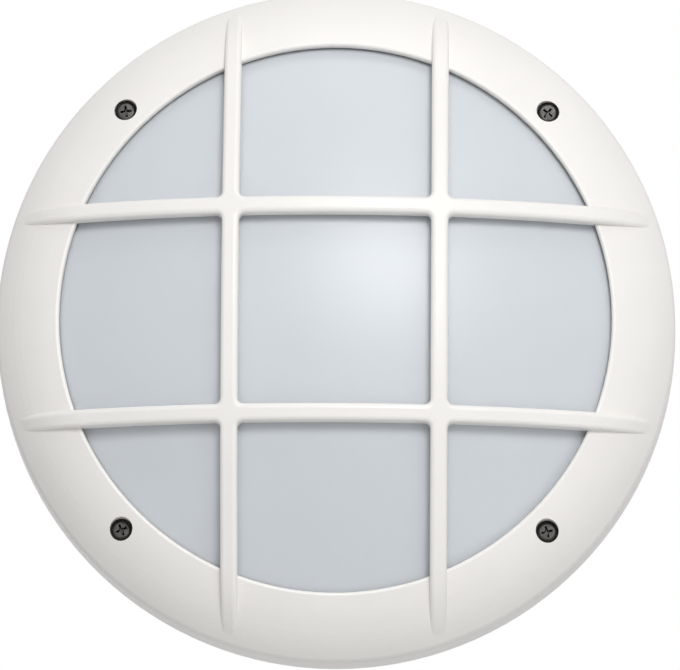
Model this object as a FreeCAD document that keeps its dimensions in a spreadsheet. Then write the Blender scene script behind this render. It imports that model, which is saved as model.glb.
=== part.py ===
import FreeCAD, Part
import itertools
import math
import operator
import os
import Sketcher
from types import SimpleNamespace
from FreeCAD import Rotation, Vector

# Round outdoor wall light. The wall is the plane y = 0, the light faces -y and z is up.
# The origin is the middle of the housing's back. Depths are measured from the wall.

# Driving dimensions, millimetres
SIZES = {
    # cover casting: skirt, sloping ring and guard grid
    "cover_diameter": 305.0,
    "cover_wall": 3.0,
    "skirt_overlap": 10.0,
    "skirt_clearance": 3.5,
    "shoulder_inset": 0.7,
    "shoulder_height": 19.5,
    "shoulder_round": 8.0,
    "ring_width": 29.6,
    "ring_rise": 23.5,
    "ring_curve": 58.0,
    "lip_depth": 5.4,
    "lip_round": 1.2,
    "rib_spacing": 92.5,
    "rib_width": 7.6,
    "rib_depth": 8.0,
    "rib_proud": 4.9,
    "rib_sink": 0.3,
    "rib_inset": 4.5,
    "rib_edge_round": 2.0,
    "rib_corner_round": 2.5,
    "guard_rise": 29.6,
    # clearances
    "rest_gap": 0.3,
    "seal_gap": 0.1,
    "loose_fit": 0.4,
    # housing
    "base_depth": 32.0,
    "base_floor": 3.5,
    "base_back_inset": 3.0,
    "flare_depth": 18.0,
    "rim_width": 8.0,
    "base_edge_round": 2.0,
    "base_corner_round": 4.0,
    "wall_seal_inset": 11.0,
    "wall_seal_width": 8.0,
    "wall_seal_thickness": 1.5,
    "cover_seal_width": 3.0,
    "cover_seal_thickness": 3.5,
    "cover_seal_proud": 0.5,
    "cover_seal_inset": 2.5,
    "fixing_circle": 180.0,
    "fixing_hole": 5.5,
    "fixing_pad": 14.0,
    "fixing_pad_height": 3.0,
    "fixing_access": 12.0,
    # cover screws
    "screw_inset": 19.0,
    "screw_thread": 5.0,
    "screw_length": 30.0,
    "screw_head": 9.5,
    "screw_head_height": 3.4,
    "screw_sink": 4.2,
    "screw_seal_section": 1.4,
    "pocket_wall": 1.8,
    "boss_diameter": 13.0,
    "thread_clearance": 0.1,
    "thread_run_out": 3.0,
    # diffuser and its fixings
    "diffuser_wall": 3.0,
    "diffuser_gap": 2.0,
    "dome_gap": 0.35,
    "flange_width": 3.1,
    "diffuser_seal_thickness": 1.5,
    "seat_clearance": 0.7,
    "clip_outset": 4.5,
    "clip_length": 11.0,
    "clip_width": 10.0,
    "clip_thickness": 0.8,
    "clip_post": 6.4,
    # small screws
    "m3_thread": 3.0,
    "m3_head": 5.5,
    "m3_head_height": 1.9,
    "m4_thread": 4.0,
    "m4_head": 7.0,
    "m4_head_height": 2.4,
    "tap_depth": 4.5,
    # cable entries
    "entry_hole": 20.0,
    "entry_bore": 9.0,
    "grommet_flange": 25.0,
    "grommet_flange_thickness": 2.0,
    "grommet_neck": 15.0,
    "grommet_neck_height": 4.0,
    "plug_thread": 16.0,
    "plug_lift": 0.5,
    "plug_boss": 22.0,
    "plug_face_cut": 0.5,
    "plug_boss_length": 13.0,
    "plug_head": 19.0,
    "plug_head_height": 2.2,
    "plug_seal_section": 1.2,
    # reflector tray
    "tray_depth": 10.0,
    "tray_sheet": 1.0,
    "tray_inset": 22.0,
    "tray_lip": 5.0,
    "tray_lip_lean": 3.0,
    "tray_screw_inset": 11.0,
    "tray_post": 9.0,
    # lampholders and lamps
    "lead_room": 3.5,
    "lamp_offset": 36.0,
    "holder_inset": 20.0,
    "holder_length": 44.0,
    "holder_diameter": 36.0,
    "holder_cap_diameter": 30.0,
    "holder_cap_length": 11.0,
    "holder_floor": 15.0,
    "holder_step": 3.0,
    "holder_screw_spacing": 16.0,
    "bracket_sheet": 1.5,
    "bracket_width": 30.0,
    "bracket_head_room": 15.0,
    "bracket_foot": 20.0,
    "bracket_screw_spacing": 18.0,
    "shell_bore": 27.2,
    "shell_wall": 0.6,
    "shell_inset": 2.0,
    "contact_spring": 10.0,
    "contact_height": 3.0,
    "contact_leaf": 1.0,
    "lamp_cap_diameter": 26.2,
    "lamp_cap_length": 22.5,
    "lamp_contact_diameter": 8.4,
    "lamp_contact_height": 2.0,
    "lamp_insulator_height": 4.2,
    "lamp_insulator_top": 22.0,
    "lamp_diameter": 55.0,
    "lamp_body_length": 31.0,
    "lamp_globe_height": 38.5,
    "lamp_globe_wall": 1.2,
    "lamp_body_step": 0.8,
    # terminals and leads
    "terminal_length": 34.0,
    "terminal_height": 18.0,
    "terminal_thickness": 15.0,
    "terminal_pitch": 10.0,
    "terminal_tube": 5.2,
    "terminal_bore": 3.4,
    "terminal_tube_length": 13.0,
    "terminal_tube_level": 5.0,
    "terminal_screw": 2.8,
    "terminal_screw_length": 6.0,
    "terminal_screw_spacing": 7.6,
    "lead_diameter": 2.6,
    "lead_hole_spacing": 9.0,
    "lead_hole_inset": 3.5,
    "lead_hole_step": 4.0,
    "lead_entry": 3.0,
    "earth_across": 42.0,
    "earth_up": 22.0,
    "earth_tag_diameter": 8.0,
    "earth_tag_sheet": 0.8,
    "earth_barrel_length": 6.0,
    "earth_barrel_gap": 5.0,
    "earth_barrel_wall": 0.5,
}

SAME = 0.02
BEYOND = 1.0
SQUARE = (1, 1), (-1, 1), (-1, -1), (1, -1)
CROSS = (1, 0), (0, 1), (-1, 0), (0, -1)
FACING = {
    "front": Rotation(Vector(1, 0, 0), 90),
    "back": Rotation(Vector(1, 0, 0), -90),
    "right": Rotation(Vector(0, 1, 0), 90),
    "left": Rotation(Vector(0, 1, 0), -90),
    "up": Rotation(),
    "down": Rotation(Vector(1, 0, 0), 180),
}

doc = FreeCAD.newDocument("WallLight")
sheet = doc.addObject("Spreadsheet::Sheet", "Sizes")
for row, (alias, number) in enumerate(SIZES.items(), start=1):
    sheet.set("A%d" % row, alias)
    sheet.set("B%d" % row, str(number))
    sheet.setAlias("B%d" % row, alias)
doc.recompute()


class Size:
    """A length worked out from the sheet: its value, and the formula that binds it to the cells."""

    def __init__(self, value, formula):
        self.value = value
        self.formula = formula

    def __add__(self, other):
        return combine(self, "+", other)

    def __radd__(self, other):
        return combine(other, "+", self)

    def __sub__(self, other):
        return combine(self, "-", other)

    def __rsub__(self, other):
        return combine(other, "-", self)

    def __mul__(self, other):
        return combine(self, "*", other)

    def __rmul__(self, other):
        return combine(other, "*", self)

    def __truediv__(self, other):
        return combine(self, "/", other)

    def __neg__(self):
        return combine(0, "-", self)


OPERATIONS = {"+": operator.add, "-": operator.sub, "*": operator.mul, "/": operator.truediv}


def size(number):
    return number if isinstance(number, Size) else Size(float(number), repr(float(number)))


def combine(left, sign, right):
    left = size(left)
    right = size(right)
    value = OPERATIONS[sign](left.value, right.value)
    return Size(value, "(%s %s %s)" % (left.formula, sign, right.formula))


def root(area):
    return Size(math.sqrt(area.value), "sqrt(%s)" % area.formula)


def leg(long_side, short_side):
    """Third side of a right-angled triangle, for points on a sphere."""
    return root(long_side * long_side - short_side * short_side)


dim = SimpleNamespace(**{alias: Size(float(getattr(sheet, alias)), "Sizes." + alias) for alias in SIZES})
free_row = itertools.count(len(SIZES) + 1)
nodes = []


def worked_out(alias, length):
    """Give a length that follows from others a cell of its own, so that later formulas stay short."""
    row = next(free_row)
    sheet.set("A%d" % row, alias)
    sheet.set("B%d" % row, "=" + length.formula.replace("Sizes.", ""))
    sheet.setAlias("B%d" % row, alias)
    return Size(length.value, "Sizes." + alias)


def bind(obj, sizes):
    for path, length in sizes.items():
        obj.setExpression(path, size(length).formula)


def node(obj, label):
    """Keep an object as one of the light's pieces."""
    obj.Label = label
    nodes.append(obj)
    return obj


def seat(obj, across, depth, up, facing="front"):
    """Put an object in the light, its own z axis turned the way it faces."""
    obj.Placement = FreeCAD.Placement(Vector(), FACING[facing])
    bind(obj, {"Placement.Base.x": across, "Placement.Base.y": -size(depth), "Placement.Base.z": up})
    return obj


# Sketches and features

def plane(body, role):
    for feature in body.Origin.OriginFeatures:
        if feature.Role == role:
            return feature
    raise ValueError("no plane " + role)


def new_sketch(body, name, role, height=0):
    sketch = body.newObject("Sketcher::SketchObject", name)
    sketch.AttachmentSupport = [(plane(body, role), "")]
    sketch.MapMode = "FlatFace"
    bind(sketch, {"AttachmentOffset.Base.z": height})
    return sketch


def hold(sketch, geometry, point, x, y):
    for kind, axis, value in (("DistanceX", -2, size(x)), ("DistanceY", -1, size(y))):
        if value.value == 0:
            sketch.addConstraint(Sketcher.Constraint("PointOnObject", geometry, point, axis))
        else:
            index = sketch.addConstraint(Sketcher.Constraint(kind, geometry, point, value.value))
            sketch.setExpression("Constraints[%d]" % index, value.formula)


def hold_radius(sketch, geometry, radius):
    index = sketch.addConstraint(Sketcher.Constraint("Radius", geometry, radius.value))
    sketch.setExpression("Constraints[%d]" % index, radius.formula)


class Bend:
    """Round stretch of an outline, from its corner to the next one."""

    def __init__(self, radius, clockwise=False):
        self.radius = size(radius)
        self.clockwise = clockwise

    def curve(self, start, end):
        if self.clockwise:
            start, end = end, start
        chord = end - start
        rise = math.sqrt(self.radius.value ** 2 - chord.Length ** 2 / 4)
        left = Vector(-chord.y, chord.x, 0).normalize()
        centre = (start + end) * 0.5 + left * rise
        first = math.atan2(start.y - centre.y, start.x - centre.x)
        last = math.atan2(end.y - centre.y, end.x - centre.x)
        if last < first:
            last += 2 * math.pi
        return Part.ArcOfCircle(Part.Circle(centre, Vector(0, 0, 1), self.radius.value), first, last)


def outline(sketch, corners):
    """Closed outline through corners (x, y), or (x, y, Bend) where a round stretch follows."""
    points = [Vector(size(corner[0]).value, size(corner[1]).value, 0) for corner in corners]
    stretches = []
    for i, corner in enumerate(corners):
        start = points[i]
        end = points[(i + 1) % len(points)]
        if len(corner) == 3:
            bend = corner[2]
            geometry = sketch.addGeometry(bend.curve(start, end))
            hold_radius(sketch, geometry, bend.radius)
            stretches.append((geometry, 2, 1) if bend.clockwise else (geometry, 1, 2))
        else:
            stretches.append((sketch.addGeometry(Part.LineSegment(start, end)), 1, 2))
    for i, (geometry, first, last) in enumerate(stretches):
        after = stretches[(i + 1) % len(stretches)]
        sketch.addConstraint(Sketcher.Constraint("Coincident", geometry, last, after[0], after[1]))
        hold(sketch, geometry, first, corners[i][0], corners[i][1])


def circle(sketch, x, y, radius):
    centre = Vector(size(x).value, size(y).value, 0)
    geometry = sketch.addGeometry(Part.Circle(centre, Vector(0, 0, 1), size(radius).value))
    hold(sketch, geometry, 3, x, y)
    hold_radius(sketch, geometry, size(radius))


def revolve(body, name, sketch, kind):
    feature = body.newObject(kind, name)
    feature.Profile = sketch
    feature.ReferenceAxis = (sketch, ["V_Axis"])
    feature.Angle = 360
    return feature


def turn(body, name, corners, kind="PartDesign::Revolution"):
    """Solid of revolution about the body's z axis from an outline of (radius, height) corners."""
    sketch = new_sketch(body, name + "_outline", "XZ_Plane")
    outline(sketch, corners)
    return revolve(body, name, sketch, kind)


def turned(name, corners):
    body = doc.addObject("PartDesign::Body", name)
    turn(body, name + "_form", corners)
    return body


def seal_ring(name, radius, section):
    """Round-section ring in the plane of its own origin."""
    body = doc.addObject("PartDesign::Body", name)
    sketch = new_sketch(body, name + "_section", "XZ_Plane")
    circle(sketch, radius, 0, section / 2)
    revolve(body, name + "_form", sketch, "PartDesign::Revolution")
    return body


def fillet(body, name, radius, wanted):
    doc.recompute()
    base = body.Tip
    edges = ["Edge%d" % (i + 1) for i, edge in enumerate(base.Shape.Edges) if wanted(base.Shape, edge)]
    feature = body.newObject("PartDesign::Fillet", name)
    feature.Base = (base, edges)
    bind(feature, {"Radius": radius})


def ring_edge(radius, height):
    """Picks the circular edge of a given radius at a given height."""
    def wanted(shape, edge):
        curve = edge.Curve
        if not isinstance(curve, Part.Circle):
            return False
        return abs(curve.Radius - radius.value) < SAME and abs(curve.Center.z - height.value) < SAME
    return wanted


# Plain solids and booleans, placed straight in the light

def box(name, across, depth, up):
    """Block between two values on each of its three directions."""
    solid = doc.addObject("Part::Box", name)
    bind(solid, {
        "Length": size(across[1]) - across[0],
        "Width": size(depth[1]) - depth[0],
        "Height": size(up[1]) - up[0],
        "Placement.Base.x": across[0],
        "Placement.Base.y": -size(depth[1]),
        "Placement.Base.z": up[0],
    })
    return solid


def rod(name, across, depth, up, facing, radius, length):
    solid = doc.addObject("Part::Cylinder", name)
    seat(solid, across, depth, up, facing)
    bind(solid, {"Radius": radius, "Height": length})
    return solid


def fuse(name, solids):
    union = doc.addObject("Part::MultiFuse", name)
    union.Shapes = solids
    return union


def cut(name, base, tools):
    result = doc.addObject("Part::Cut", name)
    result.Base = base
    result.Tool = tools[0] if len(tools) == 1 else fuse(name + "_tools", tools)
    return result


def common(name, base, tool):
    result = doc.addObject("Part::Common", name)
    result.Base = base
    result.Tool = tool
    return result


def group(label, members):
    """Like fasteners kept as separate solids of one piece."""
    compound = doc.addObject("Part::Compound", label)
    compound.Links = members
    return node(compound, label)


# Places shared by several pieces

cover_radius = dim.cover_diameter / 2
shoulder_radius = cover_radius - dim.shoulder_inset
opening_radius = cover_radius - dim.ring_width
cover_back = dim.base_depth - dim.skirt_overlap
shoulder_depth = cover_back + dim.shoulder_height
opening_depth = shoulder_depth + dim.ring_rise

# The ring's face is an arc from the shoulder to the opening
ring_across = shoulder_radius - opening_radius
ring_chord = root(ring_across * ring_across + dim.ring_rise * dim.ring_rise)
ring_share = leg(dim.ring_curve, ring_chord / 2) / ring_chord
ring_centre_radius = worked_out("ring_centre_radius",
                                (shoulder_radius + opening_radius) / 2 - dim.ring_rise * ring_share)
ring_centre_depth = worked_out("ring_centre_depth",
                               (shoulder_depth + opening_depth) / 2 - ring_across * ring_share)


def ring_depth(radius, inset=0):
    """Depth of the ring's face at a distance from the axis, or of a face set in behind it."""
    return ring_centre_depth + leg(dim.ring_curve - inset, radius - ring_centre_radius)


# The bars' front is a sphere over the opening, then an arc that sinks into the ring
half_spacing = dim.rib_spacing / 2
guard_crown = opening_depth + dim.guard_rise
rib_foot = opening_depth + dim.rib_proud
guard_centre = worked_out("guard_centre", (
    guard_crown * guard_crown - rib_foot * rib_foot + half_spacing * half_spacing
    - opening_radius * opening_radius) / (2 * (guard_crown - rib_foot)))
guard_height = guard_crown - guard_centre
guard_front = worked_out("guard_front", root(guard_height * guard_height + half_spacing * half_spacing))
guard_back = guard_front - dim.rib_depth
sink_radius = cover_radius - dim.rib_inset
sink_across = sink_radius - opening_radius
sink_drop = worked_out("sink_drop", rib_foot - ring_depth(sink_radius) + dim.rib_sink)
lean_out = opening_radius / guard_front
lean_forward = (rib_foot - guard_centre) / guard_front
sink_curve = worked_out("sink_curve", (sink_across * sink_across + sink_drop * sink_drop) / (
    2 * (sink_drop * lean_forward - sink_across * lean_out)))
sink_centre_radius = opening_radius - sink_curve * lean_out
sink_centre_depth = rib_foot - sink_curve * lean_forward
rib_end = worked_out("rib_end", leg(sink_radius, half_spacing - dim.rib_width / 2))

seat_depth = opening_depth - dim.lip_depth
flange_radius = opening_radius + dim.flange_width
seat_radius = flange_radius + dim.seat_clearance
rim_radius = cover_radius - dim.cover_wall - dim.skirt_clearance
rim_inner = rim_radius - dim.rim_width
seal_outer = rim_radius - dim.cover_seal_inset
seal_inner = seal_outer - dim.cover_seal_width
seal_top = dim.base_depth + dim.cover_seal_proud
seal_bottom = seal_top - dim.cover_seal_thickness
screw_radius = cover_radius - dim.screw_inset
screw_reach = screw_radius / root(size(2))
fixing_reach = dim.fixing_circle / 2 / root(size(2))
pocket_radius = dim.screw_head / 2 + dim.loose_fit
column_radius = pocket_radius + dim.pocket_wall
head_under = worked_out("head_under", ring_depth(screw_radius) - dim.screw_sink - dim.screw_head_height)
pocket_floor = head_under - dim.screw_seal_section - 2 * dim.seal_gap
flange_front = seat_depth - dim.diffuser_seal_thickness
flange_back = flange_front - dim.diffuser_wall
clip_reach = flange_radius + dim.clip_outset
back_radius = rim_radius - dim.base_back_inset
entry_reach = dim.fixing_circle / 4
plug_reach = rim_radius - dim.plug_face_cut
plug_depth = cover_back / 2 + dim.plug_lift
tray_radius = rim_inner - dim.tray_inset
tray_top = dim.tray_depth + dim.tray_sheet
tray_screw_reach = tray_radius - dim.tray_screw_inset
holder_back = tray_radius - dim.holder_inset
lamp_depth = tray_top + dim.lead_room + dim.lamp_diameter / 2
shell_outer = dim.shell_bore / 2 + dim.shell_wall
contact_tip = dim.holder_floor + dim.contact_height
tube_depth = tray_top + dim.terminal_tube_level
tube_end = dim.terminal_tube_length / 2


# Screws

def screw(name, thread, length, head, head_height):
    """Pan-head screw with a cross recess, its head's underside at its own origin."""
    tip = thread / 5
    crown = head_height / 2
    body = doc.addObject("PartDesign::Body", name)
    turn(body, name + "_form", [
        (0, -length), (thread / 2 - tip, -length), (thread / 2, tip - length), (thread / 2, 0),
        (head / 2, 0), (head / 2, crown, Bend(head)), (0, head_height)])
    arm = head / 3
    slot = head / 12
    sketch = new_sketch(body, name + "_cross", "XY_Plane", head_height)
    outline(sketch, [
        (arm, -slot), (arm, slot), (slot, slot), (slot, arm), (-slot, arm), (-slot, slot),
        (-arm, slot), (-arm, -slot), (-slot, -slot), (-slot, -arm), (slot, -arm), (slot, -slot)])
    recess = body.newObject("PartDesign::Pocket", name + "_recess")
    recess.Profile = sketch
    bind(recess, {"Length": head_height * 3 / 5})
    return body


def m3_screw(name, length):
    return screw(name, dim.m3_thread, length, dim.m3_head, dim.m3_head_height)


def m4_screw(name, length):
    return screw(name, dim.m4_thread, length, dim.m4_head, dim.m4_head_height)


m3_hole = dim.m3_thread / 2 + dim.thread_clearance
m4_hole = dim.m4_thread / 2 + dim.thread_clearance


# Front cover: ring and guard grid cast in one

def rib_outlines(sketch, level):
    """Two bars, level or upright, with their ends inside the ring."""
    for side in (1, -1):
        low = side * half_spacing - dim.rib_width / 2
        high = side * half_spacing + dim.rib_width / 2
        corners = [(-rib_end, low), (rib_end, low), (rib_end, high), (-rib_end, high)]
        outline(sketch, corners if level else [(y, x) for x, y in corners])


def crossing_edge(shape, edge):
    """Picks the upright inner corners where the bars cross."""
    if not isinstance(edge.Curve, Part.Line):
        return False
    foot = edge.Vertexes[0].Point
    top = edge.Vertexes[-1].Point
    if math.hypot(top.x - foot.x, top.y - foot.y) > SAME:
        return False
    away = dim.rib_width.value / 2
    return all(abs(abs(abs(value) - half_spacing.value) - away) < SAME for value in (foot.x, foot.y))


def guard_edge(shape, edge):
    """Picks the long edges of the bars' front."""
    faces = shape.ancestorsOfType(edge, Part.Face)
    front = [isinstance(face.Surface, (Part.Sphere, Part.Toroid)) for face in faces]
    middle = edge.valueAt((edge.FirstParameter + edge.LastParameter) / 2)
    at_end = max(abs(middle.x), abs(middle.y)) > rib_end.value - SAME
    return front.count(True) == 1 and len(front) == 2 and not at_end


def make_guard():
    body = doc.addObject("PartDesign::Body", "guard")
    rib_start = shoulder_depth - dim.shoulder_round
    for name, level in (("level_ribs", True), ("upright_ribs", False)):
        sketch = new_sketch(body, name + "_outline", "XY_Plane", rib_start)
        rib_outlines(sketch, level)
        bars = body.newObject("PartDesign::Pad", name)
        bars.Profile = sketch
        bind(bars, {"Length": guard_crown + dim.rib_depth - rib_start})
    above = guard_crown + 2 * dim.rib_depth
    turn(body, "guard_face", [
        (0, guard_centre + guard_front, Bend(guard_front, clockwise=True)),
        (opening_radius, rib_foot, Bend(sink_curve, clockwise=True)),
        (cover_radius, sink_centre_depth + leg(sink_curve, cover_radius - sink_centre_radius)),
        (cover_radius, above), (0, above)], "PartDesign::Groove")
    fillet(body, "crossing_corners", dim.rib_corner_round, crossing_edge)
    fillet(body, "rib_edges", dim.rib_edge_round, guard_edge)
    return seat(body, 0, 0, 0)


def make_front_cover():
    ring = turned("cover_ring", [
        (opening_radius, cover_back), (cover_radius, cover_back),
        (shoulder_radius, shoulder_depth, Bend(dim.ring_curve)), (opening_radius, opening_depth)])
    fillet(ring, "shoulder_edge", dim.shoulder_round, ring_edge(shoulder_radius, shoulder_depth))
    fillet(ring, "lip_edge", dim.lip_round, ring_edge(opening_radius, opening_depth))
    seat(ring, 0, 0, 0)
    inner_shoulder = shoulder_radius - dim.cover_wall
    hollow = turned("cover_hollow", [
        (0, cover_back), (cover_radius - dim.cover_wall, cover_back),
        (inner_shoulder, ring_depth(inner_shoulder, dim.cover_wall), Bend(dim.ring_curve - dim.cover_wall)),
        (seat_radius, ring_depth(seat_radius, dim.cover_wall)),
        (seat_radius, seat_depth), (opening_radius, seat_depth),
        (opening_radius, guard_centre + leg(guard_back, opening_radius), Bend(guard_back)),
        (0, guard_centre + guard_back)])
    seat(hollow, 0, 0, 0)
    shell = cut("cover_shell", fuse("cover_face", [ring, make_guard()]), [hollow])
    column_foot = dim.base_depth + dim.rest_gap
    tongue_foot = seal_top + dim.rest_gap
    tongue = cut("seal_tongue", rod("tongue_outer", 0, tongue_foot, 0, "front", seal_outer,
                                    opening_depth - tongue_foot),
                 [rod("tongue_inner", 0, tongue_foot - BEYOND, 0, "front", seal_inner,
                      opening_depth - tongue_foot + 2 * BEYOND)])
    inside = [tongue]
    drills = []
    for i, (right, over) in enumerate(SQUARE, start=1):
        x = right * screw_reach
        z = over * screw_reach
        inside.append(rod("screw_column_%d" % i, x, column_foot, z, "front", column_radius,
                          opening_depth - column_foot))
        drills.append(rod("screw_pocket_%d" % i, x, pocket_floor, z, "front", pocket_radius,
                          opening_depth - pocket_floor))
        drills.append(rod("screw_passage_%d" % i, x, cover_back, z, "front",
                          dim.screw_thread / 2 + dim.loose_fit, opening_depth - cover_back))
    for i, (right, over) in enumerate(CROSS, start=1):
        x = right * clip_reach
        z = over * clip_reach
        inside.append(rod("clip_post_%d" % i, x, flange_back, z, "front", dim.clip_post / 2,
                          opening_depth - flange_back))
        drills.append(rod("clip_pilot_%d" % i, x, flange_back - BEYOND, z, "front", m3_hole,
                          dim.tap_depth + BEYOND))
    fittings = common("cover_fittings", ring, fuse("cover_inside", inside))
    node(cut("front_cover", fuse("cover_casting", [shell, fittings]), drills), "front_cover")


# Diffuser, its seal and the clips that hold it in the cover

def make_diffuser():
    outer = guard_back - dim.diffuser_gap
    inner = outer - dim.diffuser_wall
    dome_radius = opening_radius - dim.dome_gap
    bowl_radius = dome_radius - dim.diffuser_wall
    body = turned("diffuser_dome", [
        (0, guard_centre + inner, Bend(inner, clockwise=True)),
        (bowl_radius, guard_centre + leg(inner, bowl_radius)),
        (bowl_radius, flange_back), (flange_radius, flange_back), (flange_radius, flange_front),
        (dome_radius, flange_front),
        (dome_radius, guard_centre + leg(outer, dome_radius), Bend(outer)),
        (0, guard_centre + outer)])
    node(seat(body, 0, 0, 0), "diffuser")
    seal_hole = opening_radius + dim.seat_clearance
    seal = turned("diffuser_ring", [
        (seal_hole, flange_front), (flange_radius, flange_front),
        (flange_radius, seat_depth), (seal_hole, seat_depth)])
    node(seat(seal, 0, 0, 0), "diffuser_seal")
    clips = []
    screws = []
    clip_under = flange_back - dim.clip_thickness
    clip_outer = clip_reach + dim.clip_post / 2
    clip_inner = clip_outer - dim.clip_length
    breadth = (-dim.clip_width / 2, dim.clip_width / 2)
    for i, (right, over) in enumerate(CROSS, start=1):
        x = right * clip_reach
        z = over * clip_reach
        radial = (clip_inner, clip_outer) if right + over > 0 else (-clip_outer, -clip_inner)
        across, up = (radial, breadth) if right else (breadth, radial)
        plate = box("clip_plate_%d" % i, across, (clip_under, flange_back), up)
        hole = rod("clip_hole_%d" % i, x, clip_under - BEYOND, z, "front", m3_hole,
                   dim.clip_thickness + 2 * BEYOND)
        clips.append(cut("clip_%d" % i, plate, [hole]))
        screws.append(seat(m3_screw("clip_screw_%d" % i, dim.tap_depth), x, clip_under, z, "back"))
    group("diffuser_clips", clips)
    group("clip_screws", screws)


# Cover screws and the sealing rings under their heads

def make_cover_screws():
    seal_middle = pocket_floor + dim.seal_gap + dim.screw_seal_section / 2
    seal_radius = (dim.screw_thread + dim.screw_seal_section) / 2 + dim.seal_gap
    for i, (right, over) in enumerate(SQUARE, start=1):
        x = right * screw_reach
        z = over * screw_reach
        body = screw("cover_screw_%d_body" % i, dim.screw_thread, dim.screw_length, dim.screw_head,
                     dim.screw_head_height)
        node(seat(body, x, head_under, z), "cover_screw_%d" % i)
        ring = seal_ring("screw_seal_%d_body" % i, seal_radius, dim.screw_seal_section)
        node(seat(ring, x, seal_middle, z), "screw_seal_%d" % i)


# Housing on the wall

def make_back_housing():
    groove_outer = seal_outer + dim.seal_gap
    groove_inner = seal_inner - dim.seal_gap
    foam_outer = back_radius - dim.wall_seal_inset
    foam_inner = foam_outer - dim.wall_seal_width
    pan = turned("housing_pan", [
        (0, 0), (foam_inner, 0), (foam_inner, dim.wall_seal_thickness),
        (foam_outer, dim.wall_seal_thickness), (foam_outer, 0),
        (back_radius, 0), (rim_radius, dim.flare_depth), (rim_radius, dim.base_depth),
        (groove_outer, dim.base_depth), (groove_outer, seal_bottom), (groove_inner, seal_bottom),
        (groove_inner, dim.base_depth), (rim_inner, dim.base_depth), (rim_inner, dim.base_floor),
        (0, dim.base_floor)])
    fillet(pan, "pan_back_edge", dim.base_edge_round, ring_edge(back_radius, size(0)))
    fillet(pan, "pan_corner", dim.base_corner_round, ring_edge(rim_inner, dim.base_floor))
    seat(pan, 0, 0, 0)
    solids = [pan]
    drills = []
    floor_start = dim.base_floor / 2
    screw_tip = head_under - dim.screw_length
    thread_end = screw_tip - dim.thread_run_out
    for i, (right, over) in enumerate(SQUARE, start=1):
        x = right * screw_reach
        z = over * screw_reach
        solids.append(rod("screw_boss_%d" % i, x, floor_start, z, "front", dim.boss_diameter / 2,
                          dim.base_depth - floor_start))
        drills.append(rod("thread_hole_%d" % i, x, thread_end, z, "front",
                          dim.screw_thread / 2 + dim.thread_clearance,
                          dim.base_depth - thread_end + BEYOND))
        x = right * fixing_reach
        z = over * fixing_reach
        solids.append(rod("fixing_pad_%d" % i, x, floor_start, z, "front", dim.fixing_pad / 2,
                          dim.base_floor + dim.fixing_pad_height - floor_start))
        drills.append(rod("fixing_hole_%d" % i, x, -BEYOND, z, "front", dim.fixing_hole / 2,
                          dim.base_floor + dim.fixing_pad_height + 2 * BEYOND))
    for i, (right, over) in enumerate(CROSS, start=1):
        x = right * tray_screw_reach
        z = over * tray_screw_reach
        solids.append(rod("tray_post_%d" % i, x, floor_start, z, "front", dim.tray_post / 2,
                          dim.tray_depth - floor_start))
        drills.append(rod("tray_pilot_%d" % i, x, dim.base_floor, z, "front", m4_hole,
                          dim.tray_depth - dim.base_floor + BEYOND))
    boss_inner = dim.plug_boss_length - plug_reach
    boss = rod("plug_boss", 0, plug_depth, boss_inner, "down", dim.plug_boss / 2, dim.plug_boss_length)
    solids.append(common("plug_boss_on_wall", boss, rod("plug_boss_room", 0, 0, 0, "front", rim_radius,
                                                        dim.base_depth)))
    drills.append(rod("plug_hole", 0, plug_depth, boss_inner + BEYOND, "down",
                      dim.plug_thread / 2 + dim.thread_clearance, dim.plug_boss_length + 2 * BEYOND))
    drills.append(rod("plug_face", 0, plug_depth, -plug_reach, "down", dim.plug_boss / 2, rim_radius))
    drills.append(rod("cable_hole", -entry_reach, -BEYOND, -entry_reach, "front", dim.entry_hole / 2,
                      dim.base_floor + 2 * BEYOND))
    node(cut("back_housing", fuse("housing_casting", solids), drills), "back_housing")
    foam = turned("wall_foam", [
        (foam_inner + dim.seal_gap, 0), (foam_outer - dim.seal_gap, 0),
        (foam_outer - dim.seal_gap, dim.wall_seal_thickness),
        (foam_inner + dim.seal_gap, dim.wall_seal_thickness)])
    node(seat(foam, 0, 0, 0), "wall_seal")
    strip = turned("cover_gasket", [
        (seal_inner, seal_bottom), (seal_outer, seal_bottom), (seal_outer, seal_top),
        (seal_inner, seal_top)])
    node(seat(strip, 0, 0, 0), "cover_seal")


# Cable entries

def make_entries():
    hole = dim.entry_hole / 2 - dim.seal_gap
    bore = dim.entry_bore / 2
    flange = dim.base_floor + dim.grommet_flange_thickness
    neck = flange + dim.grommet_neck_height
    grommet = turned("grommet_form", [
        (bore, 0), (hole, 0), (hole, dim.base_floor), (dim.grommet_flange / 2, dim.base_floor),
        (dim.grommet_flange / 2, flange), (dim.grommet_neck / 2, flange),
        (dim.grommet_neck / 2 - dim.grommet_flange_thickness / 2, neck), (bore, neck)])
    node(seat(grommet, -entry_reach, 0, -entry_reach), "cable_grommet")
    thread = dim.plug_thread / 2
    seal = dim.plug_seal_section
    under = seal + 2 * dim.seal_gap
    head_top = under + dim.plug_head_height
    slot = dim.plug_head_height / 2
    body = turned("plug_form", [
        (0, -dim.plug_boss_length), (thread, -dim.plug_boss_length), (thread, under),
        (dim.plug_head / 2, under), (dim.plug_head / 2, head_top), (0, head_top)])
    sketch = new_sketch(body, "plug_slot_outline", "XY_Plane", head_top)
    reach = dim.plug_head / 2 + BEYOND
    outline(sketch, [(-reach, -slot), (reach, -slot), (reach, slot), (-reach, slot)])
    pocket = body.newObject("PartDesign::Pocket", "plug_slot")
    pocket.Profile = sketch
    bind(pocket, {"Length": slot})
    node(seat(body, 0, plug_depth, -plug_reach, "down"), "entry_plug")
    ring = seal_ring("plug_ring", thread + seal / 2 + dim.seal_gap, seal)
    node(seat(ring, 0, plug_depth, -plug_reach - dim.seal_gap - seal / 2, "down"), "entry_plug_seal")


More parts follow.
